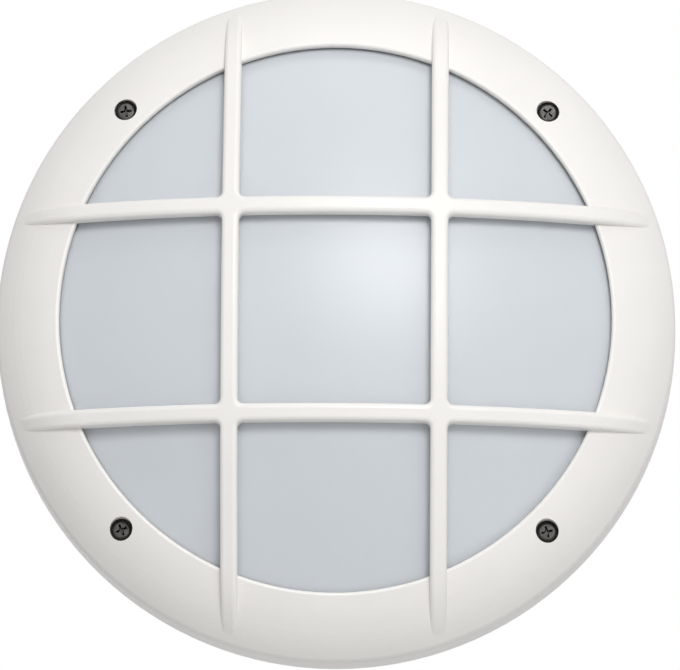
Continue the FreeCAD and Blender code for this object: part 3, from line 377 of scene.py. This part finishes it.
def lathe(bm, outline, faces):
    """Turns an outline of (radius, height) points, with so many faces round."""
    verts = [bm.verts.new((radius, 0, height)) for radius, height in outline]
    edges = [bm.edges.new(pair) for pair in zip(verts, verts[1:])]
    bmesh.ops.spin(bm, geom=verts + edges, axis=(0, 0, 1), cent=(0, 0, 0), angle=FULL_TURN, steps=faces,
                   use_merge=True)


def roll_thread(bm, pitch, depth, start, end, offset):
    """Presses a rounded thread into turned sheet, fading in and out over one pitch."""
    for v in bm.verts:
        radius = math.hypot(v.co.x, v.co.y)
        fade = max(0.0, min(1.0, (v.co.z - start) / pitch, (end - v.co.z) / pitch))
        phase = math.atan2(v.co.y, v.co.x) - FULL_TURN * (v.co.z + offset) / pitch
        inward = depth * fade * (1 - math.cos(phase)) / 2
        if inward > 0:
            v.co.xy *= 1 - inward / radius


def straight(radius, start, end, step):
    """Points of an outline up or down a wall, close enough together to take a thread."""
    count = math.ceil(abs(end - start) / step)
    return [(radius, start + (end - start) * k / count) for k in range(count + 1)]


def crown(radius, curve, apex, rings):
    """Points of a spherical cap's outline, from its apex on the axis out to a radius."""
    reach = math.asin(radius / curve)
    angles = [reach * k / rings for k in range(rings + 1)]
    return [(curve * math.sin(a), apex - curve * (1 - math.cos(a))) for a in angles]


def tube(bm, route, diameter):
    """Adds a tube round a smooth spline whose control points are a route's, in millimetres."""
    curve = bpy.data.curves.new("route", "CURVE")
    curve.dimensions = "3D"
    curve.bevel_depth = diameter / 2
    curve.use_fill_caps = True
    spline = curve.splines.new("NURBS")
    spline.points.add(len(route) - 1)
    for point, (across, out, up) in zip(spline.points, route):
        point.co = (across * MM, -out * MM, up * MM, 1)
    spline.order_u = 3
    spline.use_endpoint_u = True
    guide = bpy.data.objects.new("route", curve)
    mesh = bpy.data.meshes.new_from_object(guide)
    bm.from_mesh(mesh)
    bpy.data.meshes.remove(mesh)
    bpy.data.curves.remove(curve)


def close_up(bm):
    """Closes the seams and points all faces outwards."""
    bmesh.ops.remove_doubles(bm, verts=bm.verts, dist=MERGE)
    bmesh.ops.recalc_face_normals(bm, faces=bm.faces)


def piece(name, bm, body, material, slot, *nodes):
    """Makes an object of a finished mesh that stands for CAD nodes and moves with a body."""
    mesh = bpy.data.meshes.new(name)
    bm.to_mesh(mesh)
    bm.free()
    mesh.materials.append(material)
    mesh.shade_smooth()
    mesh.set_sharp_from_angle(angle=SHARP)
    obj = bpy.data.objects.new(name, mesh)
    bpy.context.scene.collection.objects.link(obj)
    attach(obj, body)
    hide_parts(*nodes)


def axial(node):
    """Distance from the light's axis and depth from the wall of every corner of a node's mesh."""
    places = [v.co for v in NODES[node].data.vertices]
    return [(math.hypot(place.x, place.z), place.dot(OUTWARDS)) for place in places]


def facing(towards):
    """Matrix that turns a piece modelled along z to point the way given."""
    return towards.to_track_quat("Z", "Y").to_matrix().to_4x4()


def axis_place(node, towards):
    """Matrix that also moves such a piece to where a node of the same length lies."""
    low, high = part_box(node)
    middle = (low + high) / 2
    half = abs((high - low).dot(towards)) / 2
    return Matrix.Translation(middle - towards * half) @ facing(towards)


# Pieces

class WallLightOperator(bpy.types.Operator):
    """Builds its pieces with the scene's settings"""
    bl_options = {"REGISTER", "UNDO"}

    def execute(self, context):
        scene = context.scene
        self.build(scene.wall_light_finishes, scene.wall_light_sizes, scene.wall_light_stage)
        return {"FINISHED"}


class WALL_LIGHT_OT_castings(WallLightOperator):
    """Powder coat of the cover, its guard and the housing"""
    bl_idname = "wall_light.castings"
    bl_label = "Cover and housing"

    def build(self, finishes, sizes, stage):
        dress(powder_coat("cover_powder_coat", finishes.paint), "front_cover")
        dress(powder_coat("housing_powder_coat", shade(finishes.paint, factor=0.985)), "back_housing")


class WALL_LIGHT_OT_diffuser(WallLightOperator):
    """Satin opal dome behind the guard, with its clips"""
    bl_idname = "wall_light.diffuser"
    bl_label = "Diffuser"

    def build(self, finishes, sizes, stage):
        satin = opal("satin_opal", finishes.opal)
        piece("opal_dome", self.dome("diffuser", sizes), "cover", satin, "opal", "diffuser")
        dress(plated("clip_plate", finishes.zinc, low=0.25, high=0.4), "diffuser_clips", "clip_screws")

    def dome(self, node, sizes):
        """Even bowl with a flange, turned to the node's own sizes about the light's axis."""
        corners = axial(node)
        back = min(depth for radius, depth in corners)
        apex = max(depth for radius, depth in corners)
        bore = min(radius for radius, depth in corners if depth < back + NEAR)
        flange = max(radius for radius, depth in corners)
        ledge = max(depth for radius, depth in corners if radius > flange - NEAR)
        front = [(radius, depth) for radius, depth in corners if depth > ledge + NEAR]
        rim = max(radius for radius, depth in front)
        edge = max(depth for radius, depth in front if radius > rim - NEAR)
        curve = (rim ** 2 + (apex - edge) ** 2) / (2 * (apex - edge))
        wall = rim - bore
        drawn = rim + sizes.dome_fill
        bm = bmesh.new()
        outline = crown(bore, curve - wall, apex - wall, sizes.dome_rings)
        outline += [(bore, back), (flange, back), (flange, ledge), (drawn, ledge)]
        outline += reversed(crown(drawn, curve, apex, sizes.dome_rings))
        lathe(bm, outline, sizes.dome_faces)
        close_up(bm)
        bmesh.ops.transform(bm, matrix=facing(OUTWARDS), verts=bm.verts)
        return bm


class WALL_LIGHT_OT_seals(WallLightOperator):
    """Rubber seals, the cable grommet and the blanking plug"""
    bl_idname = "wall_light.seals"
    bl_label = "Seals and entries"

    def build(self, finishes, sizes, stage):
        dress(soft_rubber("seal_rubber", finishes.rubber), "cover_seal", "diffuser_seal", "entry_plug_seal",
              "cable_grommet", *["screw_seal_%d" % i for i in SCREWS])
        dress(soft_rubber("wall_foam", finishes.rubber, pore=700), "wall_seal")
        dress(moulded("plug_moulding", finishes.plug), "entry_plug")


class WALL_LIGHT_OT_cover_screws(WallLightOperator):
    """Four cross-recess screws with cut threads"""
    bl_idname = "wall_light.cover_screws"
    bl_label = "Cover screws"

    # How far each screw's recess is turned, in degrees
    TURNED = {1: -38, 2: 8, 3: 24, 4: 15}

    def build(self, finishes, sizes, stage):
        # The screws' steel carries painted shade of their sunken pockets and painted dark reflections
        pocket_shaded_steel = plated("screw_stainless", finishes.stainless, low=0.36, high=0.5, spread=0.7)
        for i in SCREWS:
            node = "cover_screw_%d" % i
            bm = self.screw(node, sizes)
            turn = Matrix.Rotation(math.radians(self.TURNED[i]), 3, "Z")
            bmesh.ops.rotate(bm, verts=bm.verts, matrix=turn)
            bmesh.ops.transform(bm, matrix=axis_place(node, OUTWARDS), verts=bm.verts)
            piece("threaded_screw_%d" % i, bm, "screw_%d" % i, pocket_shaded_steel, "stainless", node)

    def screw(self, node, sizes):
        low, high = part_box(node)
        radius = (high.x - low.x) / 2
        top = high.y - low.y
        under = top - sizes.screw_head
        bm = bmesh.new()
        self.thread(bm, under, sizes)
        self.head(bm, radius, under, top, sizes)
        self.recess(bm, top, sizes)
        close_up(bm)
        return bm

    def thread(self, bm, under, sizes):
        """Thread up to the head's underside, with a blunt chamfered tip."""
        pitch = sizes.screw_pitch
        crest = sizes.screw_shank / 2
        root = crest - sizes.screw_thread
        half_root = 0.12 * pitch
        half_crest = 0.06 * pitch
        middle = -pitch / 2
        chamfer = 0.6 * pitch
        blunt = 0.7
        outline = [(root, -pitch), (root, half_root - pitch), (crest, middle - half_crest),
                   (crest, middle + half_crest), (root, -half_root), (root, 0)]
        helix(bm, outline, pitch, math.ceil(under / pitch) + 1, sizes.thread_steps)
        trim(bm, under, keep_above=False)
        trim(bm, chamfer, keep_above=True)
        fill(bm, sink(bm, open_edges(bm, chamfer), blunt, 0), (0, 0, -1))

    def head(self, bm, radius, under, top, sizes):
        """Pan head with rounded shoulders, open in the middle of its flat top."""
        corner = 0.05 * radius
        flat = 0.66 * radius
        shoulder = under + 0.45 * (top - under)
        steps = 8
        outline = [(radius - corner, under), (radius, under + corner), (radius, shoulder)]
        for k in range(1, steps + 1):
            a = FULL_TURN / 4 * k / steps
            reach = flat + (radius - flat) * math.cos(a)
            outline.append((reach, shoulder + (top - shoulder) * math.sin(a)))
        lathe(bm, outline, sizes.head_faces)
        fill(bm, open_edges(bm, under), (0, 0, -1))

    def recess(self, bm, top, sizes):
        """Tapering cross recess that fills the open middle of the head."""
        arm = sizes.recess_arm
        slot = sizes.recess_slot
        corner = 1.5 * slot
        end = 0.8 * slot
        taper = 0.5
        arms = 4
        corners = []
        for k in range(arms):
            turn = Matrix.Rotation(FULL_TURN * k / arms, 3, "Z")
            for point in ((corner, -slot), (arm, -end), (arm, end), (corner, slot)):
                corners.append(bm.verts.new(turn @ Vector((*point, top))))
        cross = [bm.edges.new(pair) for pair in zip(corners, corners[1:] + corners[:1])]
        fill(bm, open_edges(bm, top), (0, 0, 1))
        fill(bm, sink(bm, cross, taper, top - sizes.recess_depth), (0, 0, 1))


class WALL_LIGHT_OT_tray(WallLightOperator):
    """Reflector tray, lampholder brackets and their screws"""
    bl_idname = "wall_light.tray"
    bl_label = "Reflector tray"

    def build(self, finishes, sizes, stage):
        dress(gloss_paint("reflector_gloss", finishes.reflector), "reflector_tray")
        dress(plated("bracket_zinc", finishes.zinc, low=0.22, high=0.42, stretch=(1, 12, 1)),
              "lampholder_bracket_1", "lampholder_bracket_2")
        dress(plated("screw_zinc", finishes.zinc, low=0.2, high=0.35), "tray_screws", "bracket_screws",
              "holder_screws", "terminal_screws", "terminal_fixing_screws", "earth_screw")


class WALL_LIGHT_OT_lampholders(WallLightOperator):
    """Glazed lampholders with rolled brass shells"""
    bl_idname = "wall_light.lampholders"
    bl_label = "Lampholders"

    def build(self, finishes, sizes, stage):
        dress(glaze("holder_glaze", finishes.porcelain), "lampholder_1", "lampholder_2")
        brass = plated("contact_brass", finishes.brass, low=0.2, high=0.36)
        dress(brass, "holder_contact_1", "holder_contact_2")
        for i, towards in LAMPS.items():
            node = "holder_shell_%d" % i
            low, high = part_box(node)
            outer = (high.z - low.z) / 2
            inner = outer - sizes.shell_wall
            end = high.x - low.x
            step = sizes.lamp_pitch / ROLLED_RINGS
            outline = straight(inner, 0, end, step) + straight(outer, end, 0, step) + [(inner, 0)]
            bm = bmesh.new()
            lathe(bm, outline, ROLLED_FACES)
            roll_thread(bm, sizes.lamp_pitch, sizes.lamp_thread, 0, end, 0)
            close_up(bm)
            bmesh.ops.transform(bm, matrix=axis_place(node, towards), verts=bm.verts)
            piece("rolled_shell_%d" % i, bm, "base", brass, "brass", node)


class WALL_LIGHT_OT_lamps(WallLightOperator):
    """Screw-in lamps with rolled caps"""
    bl_idname = "wall_light.lamps"
    bl_label = "Lamps"

    def build(self, finishes, sizes, stage):
        dress(frosted("globe_frost", finishes.globe), "lamp_globe_1", "lamp_globe_2")
        dress(moulded("lamp_moulding", finishes.lamp, low=0.25, high=0.35), "lamp_body_1", "lamp_body_2")
        nickel = plated("cap_nickel", finishes.nickel, low=0.16, high=0.3)
        for i, towards in LAMPS.items():
            bm = self.cap("lamp_cap_%d" % i, "holder_shell_%d" % i, towards, sizes)
            piece("rolled_cap_%d" % i, bm, "lamp_%d" % i, nickel, "nickel", "lamp_cap_%d" % i)
        dress(moulded("cap_glass", finishes.glass, low=0.08, high=0.16),
              "lamp_insulator_1", "lamp_insulator_2")
        dress(plated("tip_brass", finishes.brass, low=0.2, high=0.36), "lamp_contact_1", "lamp_contact_2")

    def cap(self, node, shell, towards, sizes):
        """Rolled cap whose thread lies in the holder's, from its tapered foot to its plain collar."""
        place = axis_place(node, towards)
        offset = (place.translation - axis_place(shell, towards).translation).dot(towards)
        low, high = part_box(node)
        radius = (high.z - low.z) / 2
        end = high.x - low.x
        foot = radius - sizes.lamp_thread
        neck = radius - sizes.lamp_thread / 2
        taper = 0.5 * sizes.lamp_pitch
        collar = end - sizes.cap_collar
        bm = bmesh.new()
        outline = [(0, 0), (foot - taper / 2, 0), (foot, taper / 2)]
        outline += straight(radius, taper, collar, sizes.lamp_pitch / ROLLED_RINGS)
        outline += [(neck, collar + taper / 4), (neck, collar + taper / 2), (radius, collar + taper)]
        outline += [(radius, end), (0, end)]
        lathe(bm, outline, ROLLED_FACES)
        roll_thread(bm, sizes.lamp_pitch, sizes.lamp_thread, 0, collar, offset)
        close_up(bm)
        bmesh.ops.transform(bm, matrix=place, verts=bm.verts)
        return bm


class WALL_LIGHT_OT_wiring(WallLightOperator):
    """Terminal block, inner leads and the earth point"""
    bl_idname = "wall_light.wiring"
    bl_label = "Terminals and leads"

    # Points of the leads, as in part.py: across, out from the wall and up, in millimetres.
    # A lead leaves its terminal straight, until it is clear of it, and turns outwards. Its run then goes
    # over the tray and up into its hole in the lampholder.
    TERMINAL_OUT = 16
    TERMINAL_MOUTH = 6.8
    OUTWARD_TURN = 6.5, -1.5, 6
    NEAR_RUN = (
        (34, 12.6, 20.5), (56, 12.6, 17.5), (73, 13.6, 12), (82, 18.1, 7.5),
        (88.5, 26, 5), (88.5, 33.5, 7.5), (88.5, 37.5, 14), (88.5, 37.5, 24),
    )
    FAR_RUN = (
        (25, 12.6, 26.5), (50, 12.6, 24), (71, 14.6, 17.5), (87, 21.1, 12),
        (92.5, 34, 7), (92.5, 42.5, 9.5), (92.5, 46.5, 16.5), (92.5, 46.5, 24),
    )
    EARTH_ROUTE = (10, 16, 6.8), (10, 16, 15), (16.5, 14.5, 21), (22, 12.9, 22), (31, 12.9, 22)
    NEAR_CLEAR = 15
    FAR_CLEAR = 19
    LIVE_POLE = -10
    NEUTRAL_POLE = 0
    LEFT = -1
    RIGHT = 1

    def build(self, finishes, sizes, stage):
        dress(moulded("terminal_moulding", finishes.terminal), "terminal_block")
        dress(plated("terminal_brass", finishes.brass, low=0.22, high=0.4), "terminal_tubes", "earth_tag")
        live = moulded("live_insulation", finishes.live, low=0.35, high=0.48)
        neutral = moulded("neutral_insulation", finishes.neutral, low=0.35, high=0.48)
        earth = striped_lead("earth_insulation", finishes.earth_green, finishes.earth_yellow)
        live_routes = [self.near(self.LIVE_POLE, self.LEFT), self.far(self.LIVE_POLE, self.RIGHT)]
        neutral_routes = [self.far(self.NEUTRAL_POLE, self.LEFT), self.near(self.NEUTRAL_POLE, self.RIGHT)]
        piece("live_leads", self.leads(live_routes, sizes), "base", live, "wire_brown", "live_wires")
        piece("neutral_leads", self.leads(neutral_routes, sizes), "base", neutral, "wire_blue",
              "neutral_wires")
        piece("earth_lead", self.leads([self.EARTH_ROUTE], sizes), "base", earth, "wire_earth", "earth_wire")

    def near(self, pole, side):
        return self.route(pole, self.NEAR_CLEAR, self.NEAR_RUN, side)

    def far(self, pole, side):
        return self.route(pole, self.FAR_CLEAR, self.FAR_RUN, side)

    def route(self, pole, clear, run, side):
        """Points of a lead from its terminal to the lampholder on one side of the light."""
        across, out, up = self.OUTWARD_TURN
        points = [
            (pole * side, self.TERMINAL_OUT, self.TERMINAL_MOUTH),
            (pole * side, self.TERMINAL_OUT, clear),
            (pole * side + across, self.TERMINAL_OUT + out, clear + up),
        ]
        return [(across * side, out, -side * up) for across, out, up in (*points, *run)]

    def leads(self, routes, sizes):
        bm = bmesh.new()
        for route in routes:
            tube(bm, route, sizes.lead)
        close_up(bm)
        return bm


# Stage

def shown(tree):
    """Socket that is 1 for what the camera sees, itself or in gloss or through glass, and 0 for light."""
    path = tree.nodes.new("ShaderNodeLightPath")
    seen = path.outputs["Is Camera Ray"]
    for ray in ("Is Glossy Ray", "Is Transmission Ray"):
        either = tree.nodes.new("ShaderNodeMath")
        either.operation = "MAXIMUM"
        tree.links.new(seen, either.inputs[0])
        tree.links.new(path.outputs[ray], either.inputs[1])
        seen = either.outputs["Value"]
    return seen


def heading(side, up):
    """Direction from the light to what stands so far to its right and so far up."""
    return Vector((math.sin(side) * math.cos(up), -math.cos(side) * math.cos(up), math.sin(up)))


class WALL_LIGHT_OT_stage(WallLightOperator):
    """Pale floor, soft light and the camera at the photograph's angle"""
    bl_idname = "wall_light.stage"
    bl_label = "Stage"

    def build(self, finishes, sizes, stage):
        self.floor(stage)
        self.world(stage)
        for name in ("key", "top", "fill"):
            self.lamp(stage, name)
        self.camera(stage)
        bpy.context.scene.view_settings.view_transform = "Standard"

    def floor(self, stage):
        bm = bmesh.new()
        bmesh.ops.create_circle(bm, cap_ends=True, segments=96, radius=stage.floor_radius)
        bmesh.ops.translate(bm, verts=bm.verts, vec=(0, 0, -stage.floor_drop))
        mesh = bpy.data.meshes.new("floor")
        bm.to_mesh(mesh)
        bm.free()
        dull = (0.80, 0.80, 0.80)
        pale = (0.84, 0.84, 0.84)
        finish = Finish("pale_floor")
        finish.tint(finish.noise(scale=3, detail=3), (dull, pale))
        finish.shader.inputs["Roughness"].default_value = 0.9
        finish.shader.inputs["Emission Color"].default_value = WHITE
        lift = finish.nodes.new("ShaderNodeMath")
        lift.operation = "MULTIPLY"
        lift.inputs[1].default_value = stage.floor_lift
        finish.links.new(shown(finish.material.node_tree), lift.inputs[0])
        finish.links.new(lift.outputs["Value"], finish.shader.inputs["Emission Strength"])
        mesh.materials.append(finish.material)
        floor = bpy.data.objects.new("floor", mesh)
        bpy.context.scene.collection.objects.link(floor)

    def world(self, stage):
        world = bpy.data.worlds.new("soft_white")
        bpy.context.scene.world = world
        world.use_nodes = True
        tree = world.node_tree
        background = tree.nodes["Background"]
        background.inputs["Color"].default_value = WHITE
        strength = tree.nodes.new("ShaderNodeMapRange")
        strength.inputs["To Min"].default_value = stage.ambient
        strength.inputs["To Max"].default_value = 1.0
        tree.links.new(shown(tree), strength.inputs["Value"])
        tree.links.new(strength.outputs["Result"], background.inputs["Strength"])

    def lamp(self, stage, name):
        light = bpy.data.lights.new(name + "_light", "AREA")
        light.shape = "DISK"
        light.energy = getattr(stage, name)
        light.size = getattr(stage, name + "_width")
        lamp = bpy.data.objects.new(name + "_light", light)
        towards = heading(getattr(stage, name + "_side"), getattr(stage, name + "_up"))
        lamp.location = towards * stage.lamp_distance
        lamp.rotation_euler = towards.to_track_quat("Z", "Y").to_euler()
        bpy.context.scene.collection.objects.link(lamp)

    def camera(self, stage):
        towards = heading(stage.swing, -stage.tilt)
        turn = towards.to_track_quat("Z", "Y") @ Quaternion((0, 0, 1), stage.roll)
        rim = Vector((0, -stage.rim_depth, 0))
        data = bpy.data.cameras.new("camera")
        data.sensor_width = SENSOR_WIDTH
        data.lens = stage.scale / MM * stage.distance * SENSOR_WIDTH / PHOTO_WIDTH
        camera = bpy.data.objects.new("camera", data)
        camera.location = rim + towards * stage.distance + turn @ Vector((stage.aside, -stage.below, 0))
        camera.rotation_euler = turn.to_euler()
        bpy.context.scene.collection.objects.link(camera)
        bpy.context.scene.camera = camera


# Add-on

OPERATORS = (
    WALL_LIGHT_OT_castings, WALL_LIGHT_OT_diffuser, WALL_LIGHT_OT_seals, WALL_LIGHT_OT_cover_screws,
    WALL_LIGHT_OT_tray, WALL_LIGHT_OT_lampholders, WALL_LIGHT_OT_lamps, WALL_LIGHT_OT_wiring,
    WALL_LIGHT_OT_stage,
)


class WALL_LIGHT_PT_panel(bpy.types.Panel):
    bl_idname = "WALL_LIGHT_PT_panel"
    bl_label = "Wall light"
    bl_space_type = "VIEW_3D"
    bl_region_type = "UI"
    bl_category = "Wall light"

    def draw(self, context):
        for operator in OPERATORS:
            self.layout.operator(operator.bl_idname)


GROUPS = {
    "wall_light_finishes": WallLightFinishes,
    "wall_light_sizes": WallLightSizes,
    "wall_light_stage": WallLightStage,
}
CLASSES = (*GROUPS.values(), *OPERATORS, WALL_LIGHT_PT_panel)


def register():
    for item in CLASSES:
        bpy.utils.register_class(item)
    for name, settings in GROUPS.items():
        setattr(bpy.types.Scene, name, PointerProperty(type=settings))


def unregister():
    for name in GROUPS:
        delattr(bpy.types.Scene, name)
    for item in reversed(CLASSES):
        bpy.utils.unregister_class(item)


def main():
    register()
    for operator in OPERATORS:
        group, name = operator.bl_idname.split(".")
        getattr(getattr(bpy.ops, group), name)()


if __name__ == "__main__":
    main()
